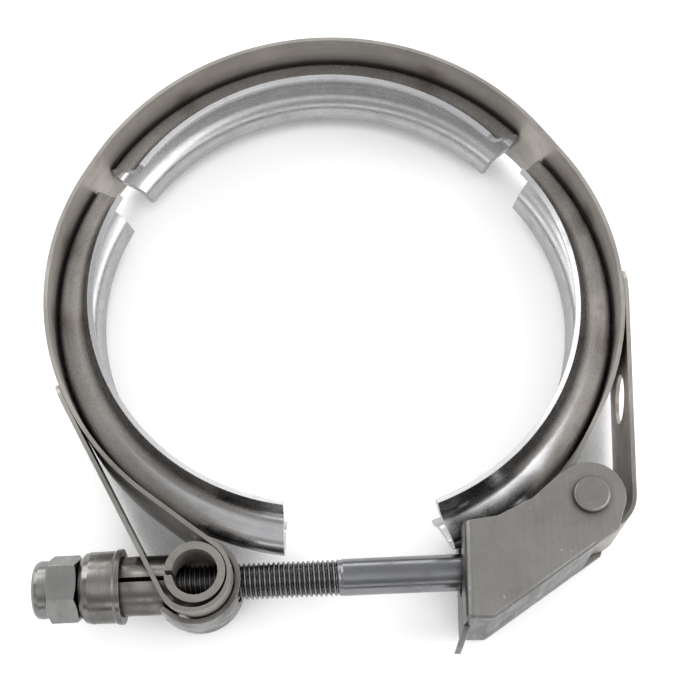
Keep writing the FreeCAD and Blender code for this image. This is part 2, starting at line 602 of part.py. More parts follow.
def make_nut():
    """Hexagon with chamfered corners and a crimped crown over the locking insert."""
    body = new_body("locknut")
    hexagon = new_sketch(body, "nut_hexagon", "XY_Plane")
    draw_outline(hexagon, [("Dims.nut_across_flats / sqrt(3) * cos(%d)" % angle,
                            "Dims.nut_across_flats / sqrt(3) * sin(%d)" % angle)
                           for angle in range(30, 390, 60)])
    block = body.newObject("PartDesign::Pad", "nut_block")
    block.Profile = hexagon
    block.setExpression("Length", "Dims.nut_height")
    for name, level, sign in (("nut_seat_chamfer", "0", 1), ("nut_crown_chamfer", "Dims.nut_height", -1)):
        corner = new_sketch(body, name + "_outline", "XZ_Plane")
        inner, outer = "Dims.nut_across_flats / 2 - 0.15", "Dims.nut_across_flats * 0.65"
        draw_outline(corner, [
            (inner, level), (outer, "%s - %d" % (level, sign)),
            (outer, "%s + %d * (%s - %s) * tan(Dims.nut_chamfer_angle)" % (level, sign, outer, inner))])
        revolve(body, name, corner, "PartDesign::Groove")
    crown = new_sketch(body, "nut_crown_section", "XZ_Plane")
    top = "Dims.nut_height + Dims.dome_height"
    draw_outline(crown, [("0", "Dims.nut_height / 2"), ("Dims.dome_radius", "Dims.nut_height / 2")]
                 + rounded_rim("Dims.dome_radius", top, "Dims.dome_rounding", 1) + [("0", top)])
    revolve(body, "nut_crown", crown)
    thread = "Dims.bolt_diameter / 2 + Dims.thread_clearance"
    seat = "%s - Dims.insert_height - 2 * Dims.insert_gap - 0.8" % top
    bore = new_sketch(body, "nut_bore_section", "XZ_Plane")
    room = "Dims.insert_radius + Dims.insert_gap"
    draw_outline(bore, [
        ("0", "-1"), (thread, "-1"), (thread, seat), (room, seat), (room, "%s - 0.8" % top),
        ("%s + 0.6" % thread, "%s - 0.8" % top), ("%s + 0.6" % thread, "%s + 1" % top),
        ("0", "%s + 1" % top)])
    revolve(body, "nut_bore", bore, "PartDesign::Groove")
    body.Placement = bolt_placement(-size("collar_station") - size("nut_seat_gap"), False)
    return body


def make_nut_insert():
    """The locking ring in the nut's crown."""
    body = new_body("nut_insert")
    ring = new_sketch(body, "insert_section", "XZ_Plane")
    thread = "Dims.bolt_diameter / 2 + Dims.thread_clearance"
    low = "Dims.nut_height + Dims.dome_height - Dims.insert_height - Dims.insert_gap - 0.8"
    high = "%s + Dims.insert_height" % low
    draw_outline(ring, [(thread, low), ("Dims.insert_radius", low), ("Dims.insert_radius", high),
                        (thread, high)])
    revolve(body, "insert_ring", ring)
    body.Placement = bolt_placement(-size("collar_station") - size("nut_seat_gap"), False)
    return body


def make_t_bolt():
    """Shank with a cross head. Its thread is a finish and isn't modelled here."""
    body = new_body("t_bolt")
    shank = new_sketch(body, "shank_section", "XZ_Plane")
    radius = "Dims.bolt_diameter / 2"
    tail = "-(Dims.collar_station + Dims.nut_seat_gap + Dims.nut_height + Dims.bolt_tail)"
    head_level = "(%s - Dims.web_distance - Dims.trunnion_x + Dims.head_station)" % PIVOT_X
    draw_outline(shank, [
        ("0", tail), ("%s - Dims.bolt_tail_chamfer" % radius, tail),
        (radius, "%s + Dims.bolt_tail_chamfer" % tail), (radius, head_level),
        ("0", head_level)])
    revolve(body, "shank", shank)
    head = new_sketch(body, "head_section", "XZ_Plane")
    draw_circle(head, "0", head_level, "Dims.head_radius")
    pad(body, "cross_head", head, "Dims.head_length")
    body.Placement = bolt_placement(0, True)
    return body


def make_latch():
    """A folded box: slotted front, two cheeks with ears for the rivet, sloping spine and finger tab."""
    body = new_body("latch")
    half_inside = "(Dims.band_width / 2 + Dims.latch_side_clearance)"
    width = "2 * (%s + Dims.latch_thickness)" % half_inside
    front, sheet, ear = "-Dims.web_distance", "Dims.latch_thickness", "Dims.ear_radius"
    heel = ("%s + Dims.heel_length" % front, "-Dims.web_bottom")

    # the spine's outer face runs from the heel to the ears' lower corner
    spine = "(atan2(Dims.web_bottom - Dims.ear_corner_drop;" \
        " Dims.web_distance - Dims.heel_length + Dims.ear_corner_ahead))"
    corner = ("Dims.ear_corner_ahead", "-Dims.ear_corner_drop")
    spine_end = ("%s + Dims.spine_length * cos%s" % (heel[0], spine),
                 "%s + Dims.spine_length * sin%s" % (heel[1], spine))
    shoulder = ("-Dims.web_distance * 0.455", "-Dims.web_top * 0.1")

    box = new_sketch(body, "folded_box_outline", "XY_Plane")
    draw_outline(box, [(front, "-Dims.web_top"), (front, "-Dims.web_bottom"), heel, spine_end,
                       (spine_end[0], shoulder[1]), shoulder,
                       ("-Dims.web_distance * 0.733", "-Dims.web_top * 0.79")])
    block = pad(body, "folded_box", box, width)
    web_bottom, heel_x = size("web_bottom"), size("heel_length") - size("web_distance")

    def is_heel_corner(edge):
        middle = edge.CenterOfMass
        on_heel = abs(middle.z) < 0.01 and abs(middle.y + web_bottom) < 0.01
        return on_heel and abs(middle.x - heel_x) < 0.01

    cornered = round_edges(body, "latch_heel_corner", block, is_heel_corner, "Dims.heel_corner_radius")
    fold = size("band_width") / 2 + size("latch_side_clearance") + size("latch_thickness")

    def is_heel_fold(edge):
        middle = edge.CenterOfMass
        return abs(abs(middle.z) - fold) < 0.01 and abs(middle.y + web_bottom) < 0.01

    def is_front_fold(edge):
        middle = edge.CenterOfMass
        return abs(abs(middle.z) - fold) < 0.01 and abs(middle.x + size("web_distance")) < 0.01

    folded = round_edges(body, "latch_front_folds", cornered, is_front_fold, "Dims.latch_bend_radius")
    round_edges(body, "latch_spine_folds", folded, is_heel_fold, "Dims.spine_bend_radius")

    cheek = new_sketch(body, "ear_arm_outline", "XY_Plane")
    draw_outline(cheek, [
        spine_end, corner, ("%s * 0.995" % ear, "-%s * 0.1" % ear), ("0", "0"), ("-%s * sin(33)" % ear, "%s * cos(33)" % ear),
        ("-%s * 0.95" % ear, "%s * 0.58" % ear), shoulder])
    pad(body, "ear_arm", cheek, width)
    ears = new_sketch(body, "ear_outline", "XY_Plane")
    draw_circle(ears, "0", "0", ear)
    pad(body, "ear_round", ears, width)

    inside = new_sketch(body, "latch_inside_outline", "XY_Plane")
    end_x, end_y = "(%s)" % spine_end[0], "(%s)" % spine_end[1]
    draw_outline(inside, [
        ("%s + %s" % (front, sheet), "2 * %s" % ear),
        ("%s + %s" % (front, sheet), "%s + %s" % (heel[1], sheet)),
        ("%s - %s * tan(%s / 2)" % (heel[0], sheet, spine), "%s + %s" % (heel[1], sheet)),
        ("%s - %s * sin%s" % (end_x, sheet, spine), "%s + %s * cos%s" % (end_y, sheet, spine)),
        ("%s + 9 * sin%s" % (end_x, spine), "%s - 9 * cos%s" % (end_y, spine)),
        ("2.5 * %s" % ear, end_y), ("2.5 * %s" % ear, "2 * %s" % ear)])
    pocket(body, "latch_inside", inside, "2 * %s" % half_inside)

    hole = new_sketch(body, "rivet_hole_outline", "XY_Plane")
    draw_circle(hole, "0", "0", "Dims.rivet_radius + Dims.rivet_clearance")
    pocket(body, "rivet_hole", hole)

    slot = new_sketch(body, "web_slot_outline", "YZ_Plane")
    slot.AttachmentOffset = Placement(Vector(0, 0, -20), Rotation())
    slot.setExpression("AttachmentOffset.Base.z", "-Dims.web_distance + Dims.latch_thickness / 2")
    half_slot = "Dims.web_slot_width / 2"
    bolt_level = "(%s - %s + (%s - Dims.web_distance - Dims.trunnion_x) * tan(Dims.bolt_angle))" % (
        TRUNNION_Y, PIVOT_Y, PIVOT_X)
    seat = "(%s - Dims.bolt_diameter / 2 - Dims.web_slot_seat + %s)" % (bolt_level, half_slot)
    draw_outline(slot, [(seat, "-" + half_slot), ("0", "-" + half_slot), ("0", half_slot),
                        (seat, half_slot)])
    pocket(body, "web_slot", slot, "2 * Dims.latch_thickness")
    round_seat = new_sketch(body, "web_slot_seat_outline", "YZ_Plane")
    round_seat.AttachmentOffset = Placement(Vector(0, 0, -20), Rotation())
    round_seat.setExpression("AttachmentOffset.Base.z", "-Dims.web_distance + Dims.latch_thickness / 2")
    draw_circle(round_seat, seat, "0", half_slot)
    pocket(body, "web_slot_seat", round_seat, "2 * Dims.latch_thickness")

    tab = new_sketch(body, "tab_outline", "XY_Plane")
    root = "-Dims.web_bottom + Dims.latch_thickness / 2"
    foot_of_tab = "-Dims.web_bottom - Dims.tab_drop"
    draw_outline(tab, [
        (front, root), ("%s + %s" % (front, sheet), root), ("%s + %s" % (front, sheet), "-Dims.web_bottom"),
        ("%s + %s - Dims.tab_lean" % (front, sheet), foot_of_tab),
        ("%s - Dims.tab_lean" % front, foot_of_tab), (front, "-Dims.web_bottom")])
    pad(body, "finger_tab", tab, "Dims.tab_width")
    place_body(body, PIVOT_X, PIVOT_Y)
    return body


def make_rivet():
    """Headed on both sides of the latch."""
    body = new_body("rivet")
    section = new_sketch(body, "rivet_section", "XZ_Plane")
    seat = "(Dims.band_width / 2 + Dims.latch_side_clearance + Dims.latch_thickness + Dims.rivet_clearance)"
    top = "(%s + Dims.rivet_head_height)" % seat
    head, shank = "Dims.rivet_head_radius", "Dims.rivet_radius"
    rim = "Dims.rivet_head_rounding"
    draw_outline(section, [("0", "-" + top)] + rounded_rim(head, "-" + top, rim, -1)[::-1] + [
        (head, "-" + seat), (shank, "-" + seat), (shank, seat), (head, seat)]
        + rounded_rim(head, top, rim, 1) + [("0", top)])
    revolve(body, "rivet_turned", section)
    place_body(body, PIVOT_X, PIVOT_Y)
    return body


def make_pivot_bush():
    """The spacer tube on the rivet, inside the right loop."""
    body = new_body("pivot_bush")
    ring = new_sketch(body, "bush_section", "XY_Plane")
    draw_circle(ring, "0", "0", "Dims.bush_radius")
    draw_circle(ring, "0", "0", "Dims.rivet_radius + Dims.rivet_clearance")
    pad(body, "bush_wall", ring, "Dims.band_width")
    place_body(body, PIVOT_X, PIVOT_Y)
    return body


# ---------------------------------------------------------------- build, check and write

sub_parts = [
    make_band(),
    make_segment("segment_top", ("0", "0"), "Dims.top_segment_from", "Dims.top_segment_to",
                 "Dims.top_segment_slant", "Dims.top_segment_slant"),
    make_segment("segment_left", LEFT_CENTRE_XY, "Dims.left_segment_from", "Dims.left_segment_to",
                 "Dims.left_segment_slant", "Dims.left_segment_slant"),
    make_segment("segment_right", RIGHT_CENTRE_XY, "Dims.right_segment_from", "Dims.right_segment_to",
                 "Dims.right_segment_foot_slant", "Dims.right_segment_slant"),
    make_trunnion_tube(),
    make_saddle(),
    make_collar(),
    make_nut(),
    make_nut_insert(),
    make_t_bolt(),
    make_latch(),
    make_rivet(),
    make_pivot_bush(),
]
doc.recompute()

for item in doc.Objects:
    if "Invalid" in item.State or "Error" in item.State:
        raise RuntimeError("%s did not build: %s" % (item.Label, item.State))

os.makedirs("parts", exist_ok=True)
for part in sub_parts:
    shape = part.Shape
    if shape.isNull() or not shape.isValid() or len(shape.Solids) != 1:
        raise RuntimeError("%s has no single valid solid: %d" % (part.Label, len(shape.Solids)))
    print("%-16s volume %9.1f mm3" % (part.Label, shape.Volume))
for part in sub_parts:
    part.Shape.exportStep("parts/%s.step" % part.Label)
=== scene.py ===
# %% [markdown]
# A quick-release V-band clamp in worn stainless steel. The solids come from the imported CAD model
# and stay as they are. This lesson gives each of them a steel finish of its own, turns the
# segments' bends fully round, cuts the thread on the T-bolt, and sets up light and camera.

# %% Load the frame
import json
import math

import bmesh
import bpy
from mathutils import Matrix, Vector


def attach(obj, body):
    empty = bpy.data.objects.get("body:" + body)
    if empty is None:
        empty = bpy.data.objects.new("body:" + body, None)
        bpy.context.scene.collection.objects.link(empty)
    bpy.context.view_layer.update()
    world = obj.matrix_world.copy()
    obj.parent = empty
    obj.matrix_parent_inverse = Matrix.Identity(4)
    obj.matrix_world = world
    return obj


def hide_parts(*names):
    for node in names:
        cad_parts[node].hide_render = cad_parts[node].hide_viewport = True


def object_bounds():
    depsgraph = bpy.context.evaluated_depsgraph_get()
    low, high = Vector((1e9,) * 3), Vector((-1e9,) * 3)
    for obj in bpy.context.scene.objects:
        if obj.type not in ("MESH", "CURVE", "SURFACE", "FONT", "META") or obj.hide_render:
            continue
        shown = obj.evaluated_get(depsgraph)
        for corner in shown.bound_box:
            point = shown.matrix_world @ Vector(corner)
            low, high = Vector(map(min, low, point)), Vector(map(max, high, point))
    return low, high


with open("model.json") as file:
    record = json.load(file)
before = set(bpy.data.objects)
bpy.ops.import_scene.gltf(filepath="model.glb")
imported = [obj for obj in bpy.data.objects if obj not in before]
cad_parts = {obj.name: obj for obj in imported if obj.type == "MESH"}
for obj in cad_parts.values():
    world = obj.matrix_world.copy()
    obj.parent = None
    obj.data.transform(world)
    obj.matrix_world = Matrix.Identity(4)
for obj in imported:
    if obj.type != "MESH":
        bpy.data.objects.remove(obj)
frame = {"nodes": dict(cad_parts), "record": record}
cad_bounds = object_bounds()
scene = bpy.context.scene
MM = 0.001
VERTICAL = Vector((0, 0, 1))

# %% [markdown]
# The camera looks down on the clamp from the side of its closure, 67 degrees above the table. A
# lens of about 70 mm shows the ring's near and far side almost alike.

# %% Camera
EYE = Vector((8.44, -134.36, 281.98)) * MM
GAZE = Vector((-0.0171, 0.3893, -0.9209)).normalized()
CAMERA_UP = Vector((0.0, 0.921, 0.389))
LENS = 69.77
SENSOR_WIDTH = 36.0

side = GAZE.cross(CAMERA_UP).normalized()
up = side.cross(GAZE)
camera_data = bpy.data.cameras.new("camera")
camera_data.lens = LENS
camera_data.sensor_width = SENSOR_WIDTH
camera_data.sensor_fit = "HORIZONTAL"
camera = bpy.data.objects.new("camera", camera_data)
camera.matrix_world = Matrix.Translation(EYE) @ Matrix((side, up, -GAZE)).transposed().to_4x4()
scene.collection.objects.link(camera)
scene.camera = camera
scene.view_settings.view_transform = "Standard"
print("camera %.0f mm above the table" % (EYE.z / MM))

# %% [markdown]
# World, table and steel are all made of nodes. One small class adds them, joins them and offers
# the few patterns that come back: sums, ranges, noise and mixed colours.

# %% Node helper
class Nodes:
    """A node tree under construction, with short ways to add and join nodes."""

    def __init__(self, owner):
        owner.use_nodes = True
        self.tree = owner.node_tree

    def add(self, kind, **options):
        """Add a node of that kind and set its options."""
        node = self.tree.nodes.new("ShaderNode" + kind)
        for option, value in options.items():
            setattr(node, option, value)
        return node

    def put(self, value, socket):
        """Lead an output into a socket, or set the socket to a number or a colour."""
        if isinstance(value, bpy.types.NodeSocket):
            self.tree.links.new(value, socket)
        elif socket.type == "RGBA":
            socket.default_value = (*value, 1.0)
        else:
            socket.default_value = value

    def coordinates(self, kind="Object"):
        """Where a point of the surface lies, or which way it faces."""
        return self.add("TexCoord").outputs[kind]

    def parts(self, vector):
        """The outputs X, Y and Z of a vector."""
        node = self.add("SeparateXYZ")
        self.put(vector, node.inputs[0])
        return node.outputs

    def math(self, operation, *values):
        """Work out a number from numbers or outputs."""
        node = self.add("Math", operation=operation)
        for value, socket in zip(values, node.inputs):
            self.put(value, socket)
        return node.outputs[0]

    def span(self, value, low, high, new_low, new_high):
        """Stretch the range from low to high over the new range, and stop at its ends."""
        node = self.add("MapRange")
        for key, number in (("From Min", low), ("From Max", high),
                            ("To Min", new_low), ("To Max", new_high)):
            self.put(number, node.inputs[key])
        self.put(value, node.inputs["Value"])
        return node.outputs["Result"]

    def noise(self, per_metre, stretch=(1, 1, 1), detail=3.0, source=None):
        """Noise with that many cells to the metre along each axis."""
        mapping = self.add("Mapping")
        self.put([per_metre * part for part in stretch], mapping.inputs["Scale"])
        self.put(source or self.coordinates(), mapping.inputs["Vector"])
        cells = self.add("TexNoise")
        self.put(1.0, cells.inputs["Scale"])
        self.put(detail, cells.inputs["Detail"])
        self.put(mapping.outputs[0], cells.inputs["Vector"])
        return cells.outputs["Fac"]

    def blend(self, share, first, second, mode="MIX"):
        """Mix two colours, or multiply the first by the second, by that share of the second."""
        node = self.add("Mix", data_type="RGBA", blend_type=mode)
        colours = {socket.name: socket for socket in node.inputs if socket.type == "RGBA"}
        self.put(share, node.inputs["Factor"])
        self.put(first, colours["A"])
        self.put(second, colours["B"])
        return next(socket for socket in node.outputs if socket.type == "RGBA")


class Finish(Nodes):
    """The nodes of a new material, with its main shader and its output."""

    def __init__(self, name):
        self.material = bpy.data.materials.new(name)
        super().__init__(self.material)
        self.shader = self.tree.nodes["Principled BSDF"]
        self.surface = self.tree.nodes["Material Output"].inputs["Surface"]


print("node helper ready")

# %% [markdown]
# Steel shows what stands round it. The world is a soft tent whose brightness changes with
# direction: brightest above the closure's side, greyer over the middle and dark near the table,
# and the right side is brighter than the left. A bright ring lies low all round, strongest behind
# the clamp: it draws the long highlights in the bends.

# %% World
# Brightness along the arc from the table on the closure's side, over the top, to the table behind.
TENT_LEVELS = [(0.0, 0.18), (0.15, 0.25), (0.28, 0.55), (0.36, 1.15), (0.45, 1.15), (0.56, 0.68),
               (0.68, 0.56), (0.80, 0.85), (1.0, 0.4)]
TENT_RED, TENT_BLUE = 0.99, 1.015
TO_THE_RIGHT = 0.35
TO_EITHER_SIDE = -0.3
RING_LEVEL = 2.2
RING_HEIGHT, RING_SPREAD = 0.34, 0.12
RING_BEHIND = 0.4
WHITE = (1.0, 1.0, 1.0)

world = bpy.data.worlds.new("tent")
scene.world = world
sky = Nodes(world)
way = sky.parts(sky.coordinates("Generated"))

ramp = sky.add("ValToRGB")
while len(ramp.color_ramp.elements) < len(TENT_LEVELS):
    ramp.color_ramp.elements.new(0.5)
for element, (position, level) in zip(ramp.color_ramp.elements, TENT_LEVELS):
    element.position = position
    element.color = (level * TENT_RED, level, level * TENT_BLUE, 1)
over = sky.math("ARCTAN2", way["Z"], sky.math("MULTIPLY", way["Y"], -1.0))
sky.put(sky.math("DIVIDE", over, math.pi), ramp.inputs["Fac"])
slope = sky.math("MULTIPLY_ADD", way["X"], TO_EITHER_SIDE, TO_THE_RIGHT)
tent = sky.tree.nodes["Background"]
sky.put(ramp.outputs["Color"], tent.inputs["Color"])
sky.put(sky.math("MULTIPLY_ADD", way["X"], slope, 1.0), tent.inputs["Strength"])

off_ring = sky.math("DIVIDE", sky.math("SUBTRACT", way["Z"], RING_HEIGHT), RING_SPREAD)
bell = sky.math("EXPONENT", sky.math("MULTIPLY", sky.math("MULTIPLY", off_ring, off_ring), -1.0))
behind = sky.math("MULTIPLY_ADD", way["Y"], RING_BEHIND, 1.0)
ring_light = sky.add("Background")
sky.put(WHITE, ring_light.inputs["Color"])
sky.put(sky.math("MULTIPLY", sky.math("MULTIPLY", bell, behind), RING_LEVEL),
        ring_light.inputs["Strength"])

both = sky.add("AddShader")
sky.put(tent.outputs[0], both.inputs[0])
sky.put(ring_light.outputs[0], both.inputs[1])
sky.put(both.outputs[0], sky.tree.nodes["World Output"].inputs["Surface"])
print("tent with %d levels and a ring" % len(TENT_LEVELS))

# %% [markdown]
# Two large softboxes give the highlights their direction, a strong one from the left and behind
# and a weaker one from the right.

# %% Softboxes
AIM = Vector((0, -10, 0)) * MM


def softbox(name, place_mm, size_mm, watts):
    """A rectangular lamp at that place, turned to the clamp."""
    data = bpy.data.lights.new(name, "AREA")
    data.shape = "RECTANGLE"
    data.size, data.size_y = size_mm[0] * MM, size_mm[1] * MM
    data.energy = watts
    lamp = bpy.data.objects.new(name, data)
    lamp.location = Vector(place_mm) * MM
    lamp.rotation_euler = (AIM - lamp.location).to_track_quat("-Z", "Y").to_euler()
    scene.collection.objects.link(lamp)


softbox("key", place_mm=(-330, 260, 420), size_mm=(380, 300), watts=0.95)
softbox("fill", place_mm=(380, -60, 360), size_mm=(300, 400), watts=0.6)
print("2 softboxes")

# %% [markdown]
# The table is a plain white sheet. The camera sees it as pure white with the clamp's soft shadow,
# and the steel mirrors it as white too. In narrow gaps its colour and its glow are darkened, a
# painted shade.

# %% Table
TABLE_HALF = 4.0  # metres
TABLE_GLOW = 0.3
PAPER_ROUGHNESS = 0.9
SHADED_PAPER, LIT_PAPER = 0.35, 0.93
GAP_DEPTH = 22 * MM
GAP_SAMPLES = 8
GAP_CLOSED, GAP_OPEN = 0.20, 0.42

low = cad_bounds[0][2]
table_mesh = bpy.data.meshes.new("table")
table_mesh.from_pydata([(x * TABLE_HALF, y * TABLE_HALF, low) for x, y in
                        ((-1, -1), (1, -1), (1, 1), (-1, 1))], [], [(0, 1, 2, 3)])
table = bpy.data.objects.new("table", table_mesh)
scene.collection.objects.link(table)

paper = Finish("white_paper")
rays = paper.add("LightPath").outputs
seen = paper.math("MAXIMUM", rays["Is Camera Ray"], rays["Is Glossy Ray"])
seen = paper.math("MAXIMUM", seen, rays["Is Transmission Ray"])
open_sky = paper.add("AmbientOcclusion", samples=GAP_SAMPLES)
paper.put(GAP_DEPTH, open_sky.inputs["Distance"])
openness = open_sky.outputs["AO"]
paper.put(PAPER_ROUGHNESS, paper.shader.inputs["Roughness"])
# painted shade: the paper is darker in narrow gaps
paper.put(paper.span(openness, GAP_CLOSED, GAP_OPEN, SHADED_PAPER, LIT_PAPER),
          paper.shader.inputs["Base Color"])
glow = paper.add("Emission")
paper.put(WHITE, glow.inputs["Color"])
# painted shade: its glow fades in narrow gaps
brightness = paper.span(openness, GAP_CLOSED, GAP_OPEN, 0.0, TABLE_GLOW)
paper.put(paper.math("MULTIPLY", seen, brightness), glow.inputs["Strength"])
lit = paper.add("AddShader")
paper.put(paper.shader.outputs[0], lit.inputs[0])
paper.put(glow.outputs[0], lit.inputs[1])
paper.put(lit.outputs[0], paper.surface)
table_mesh.materials.append(paper.material)
print("table at %.1f mm" % (low / MM))

# %% [markdown]
# All the clamp's sheet parts are stainless steel, but each came from its own press and tumbler.
# They share the marks that steel gets: stains, specks, worn edges with a painted highlight,
# dirt with a painted shade where pieces meet, spot welds.

# %% Marks, painted highlights and painted shade on steel
STAIN_TINT = (0.42, 0.40, 0.38)
GRAIN_TINT = (0.6, 0.6, 0.6)
SPECK_TINT = (0.66, 0.62, 0.56)
LOW_TINT = (0.35, 0.35, 0.35)
SCRATCH_COLOUR = (0.62, 0.61, 0.59)
WELD_BROWN = (0.16, 0.10, 0.06)
WORN_HIGHLIGHT_COLOUR = (0.52, 0.50, 0.47)
GRIME_AND_SHADE_COLOUR = (0.035, 0.031, 0.028)
GRAIN_SHADE, SPECK_SHADE, GRIME_AND_SHADE_STRENGTH, LOW_DARKENING, WELD_SHADE = 0.32, 0.3, 0.75, 0.5, 0.5
SCRATCHES = (1300, (1.0, 0.5, 1.0), 2.0)
SCRATCH_RANGE = (0.73, 0.76)
EDGE_HIGHLIGHT_RANGE = (0.985, 0.90)
CREVICE_RANGE = (0.35, 0.85)
LOW_FADE = 12 * MM
WELD_INNER, WELD_OUTER = 0.8 * MM, 4.2 * MM
CREVICE_REACH = 1.6 * MM
MARK_SAMPLES = 4
RING_RADIUS = 60 * MM


def round_coordinates(finish):
    """Way round the clamp's axis, radius and height, so that grain can follow a ring."""
    place = finish.parts(finish.coordinates())
    angle = finish.math("ARCTAN2", place["Y"], place["X"])
    square = finish.math("ADD", finish.math("MULTIPLY", place["X"], place["X"]),
                         finish.math("MULTIPLY", place["Y"], place["Y"]))
    joined = finish.add("CombineXYZ")
    finish.put(finish.math("MULTIPLY", angle, RING_RADIUS), joined.inputs["X"])
    finish.put(finish.math("SQRT", square), joined.inputs["Y"])
    finish.put(place["Z"], joined.inputs["Z"])
    return joined.outputs[0]


def scratched(finish, colour, brightness):
    """Short bright scratches."""
    scratch = finish.span(finish.noise(*SCRATCHES), *SCRATCH_RANGE, 0.0, brightness)
    return finish.blend(scratch, colour, SCRATCH_COLOUR)


def darkened_low(finish, colour, level):
    """Darker steel below that level along Y."""
    place = finish.parts(finish.coordinates())
    low_share = finish.span(place["Y"], level + LOW_FADE, level, 0.0, LOW_DARKENING)
    return finish.blend(low_share, colour, LOW_TINT, "MULTIPLY")


def welded(finish, colour, welds):
    """A brown tint round each spot weld."""
    nearest = None
    for weld in welds:
        gap = finish.add("VectorMath", operation="DISTANCE")
        finish.put(finish.coordinates(), gap.inputs[0])
        finish.put(weld, gap.inputs[1])
        distance = gap.outputs["Value"]
        nearest = distance if nearest is None else finish.math("MINIMUM", nearest, distance)
    brown = finish.span(nearest, WELD_INNER, WELD_OUTER, WELD_SHADE, 0.0)
    return finish.blend(brown, colour, WELD_BROWN)


def worn_and_highlit(finish, colour, soft_normal, wear_and_highlight):
    """Worn edges with a painted highlight, where the softened normal turns from the true one."""
    turned = finish.add("VectorMath", operation="DOT_PRODUCT")
    finish.put(soft_normal, turned.inputs[0])
    finish.put(finish.add("NewGeometry").outputs["True Normal"], turned.inputs[1])
    edge = finish.span(turned.outputs["Value"], *EDGE_HIGHLIGHT_RANGE, 0.0, wear_and_highlight)
    return finish.blend(edge, colour, WORN_HIGHLIGHT_COLOUR)


def grime_and_painted_shade(finish, colour):
    """Darker crevices where pieces meet: dirt and a painted shade."""
    crevice = finish.add("AmbientOcclusion", samples=MARK_SAMPLES)
    finish.put(CREVICE_REACH, crevice.inputs["Distance"])
    grime_and_shade = finish.span(crevice.outputs["AO"], *CREVICE_RANGE, GRIME_AND_SHADE_STRENGTH, 0.0)
    return finish.blend(grime_and_shade, colour, GRIME_AND_SHADE_COLOUR)


print("marks ready")

# %% [markdown]
# One function builds a finish from a few numbers: the colour of its faces, how rough it is, which
# way its grain runs, and how stained, dented and worn it is, with painted highlights on its edges
# and painted shade on its upright faces.

# %% Steel
SPECKS = 420
FINE_DETAIL, CLOUD_DETAIL = 4.0, 5.0
STAIN_RANGE, GRAIN_RANGE, SPECK_RANGE = (0.40, 0.72), (0.3, 0.7), (0.55, 0.75)
LEVEL_RANGE, UPRIGHT_SHADE_RANGE = (0.965, 0.99), (0.15, 0.75)
GRAIN_GLOSS, GRAIN_ROUGHNESS = (0.25, 0.75), (-0.05, 0.06)
SPECK_GLOSS, SPECK_ROUGHNESS = (0.3, 0.7), (-0.04, 0.05)
SOFT_EDGE = 0.18 * MM
GRAIN_BUMP, GRAIN_DEPTH = 0.05, 0.05 * MM
DENT_DEPTH = 0.5 * MM
STAIN_ROUGHNESS, LEVEL_ROUGHNESS = 0.25, 0.10


def steel(name, face, edge, rough, grain=(900, (0.05, 1, 1)), round_grain=False, stain=0.25,
          patches=70, dents=0.05, metallic=1.0, wear_and_highlight=0.45, upright_shade=1.0, nicks=0.0, welds=(),
          darker_from=None):
    """A worked steel surface.

    face and edge are its colours, edge for surfaces that lie level, as a strip's cut edges do.
    grain is cells to the metre and their stretch, and round_grain lets it run round the ring.
    stain is how dark the stains are, patches how many lie on a metre, and dents how far they
    bump. wear is how bright edges are made, partly worn and partly a painted highlight, sides
    how much colour upright surfaces keep under a painted shade, and nicks how bright the
    scratches are. welds are the places of spot welds. Where Y is below darker_from, the steel is
    darker.
    """
    finish = Finish(name)
    fine = finish.noise(*grain, FINE_DETAIL, round_coordinates(finish) if round_grain else None)
    cloud = finish.noise(patches, detail=CLOUD_DETAIL)
    speck = finish.noise(SPECKS)
    stained = finish.span(cloud, *STAIN_RANGE, 0.0, stain)
    upward = finish.math("ABSOLUTE", finish.parts(finish.coordinates("Normal"))["Z"])
    level = finish.span(upward, *LEVEL_RANGE, 0.0, 1.0)
    soft = finish.add("Bevel", samples=MARK_SAMPLES)
    finish.put(SOFT_EDGE, soft.inputs["Radius"])

    colour = finish.blend(level, face, edge)
    for share, tint in ((stained, STAIN_TINT),
                        (finish.span(fine, *GRAIN_RANGE, 0.0, GRAIN_SHADE), GRAIN_TINT),
                        (finish.span(speck, *SPECK_RANGE, 0.0, SPECK_SHADE), SPECK_TINT),
                        # upright faces keep only part of their colour: a painted shade
                        (1.0, finish.span(upward, *UPRIGHT_SHADE_RANGE, upright_shade, 1.0))):
        colour = finish.blend(share, colour, tint, "MULTIPLY")
    if nicks:
        colour = scratched(finish, colour, nicks)
    if darker_from is not None:
        colour = darkened_low(finish, colour, darker_from)
    if welds:
        colour = welded(finish, colour, welds)
    # edges: partly worn, partly a painted highlight
    colour = worn_and_highlit(finish, colour, soft.outputs[0], wear_and_highlight)
    # crevices darken: dirt and a painted shade
    finish.put(grime_and_painted_shade(finish, colour), finish.shader.inputs["Base Color"])

    gloss = finish.span(fine, *GRAIN_GLOSS, *(rough + change for change in GRAIN_ROUGHNESS))
    for more in (finish.span(speck, *SPECK_GLOSS, *SPECK_ROUGHNESS),
                 finish.math("MULTIPLY", stained, STAIN_ROUGHNESS),
                 finish.math("MULTIPLY", level, LEVEL_ROUGHNESS)):
        gloss = finish.math("ADD", gloss, more)
    finish.put(gloss, finish.shader.inputs["Roughness"])

    normal = soft.outputs[0]
    for height, strength, depth in ((fine, GRAIN_BUMP, GRAIN_DEPTH), (cloud, dents, DENT_DEPTH)):
        bump = finish.add("Bump")
        finish.put(strength, bump.inputs["Strength"])
        finish.put(depth, bump.inputs["Distance"])
        finish.put(height, bump.inputs["Height"])
        finish.put(normal, bump.inputs["Normal"])
        normal = bump.outputs[0]
    finish.put(normal, finish.shader.inputs["Normal"])
    finish.put(metallic, finish.shader.inputs["Metallic"])
    return finish


def dress(node, finish):
    """Give a CAD solid its material."""
    materials = frame["nodes"][node].data.materials
    materials.clear()
    materials.append(finish.material)


print("steel ready")

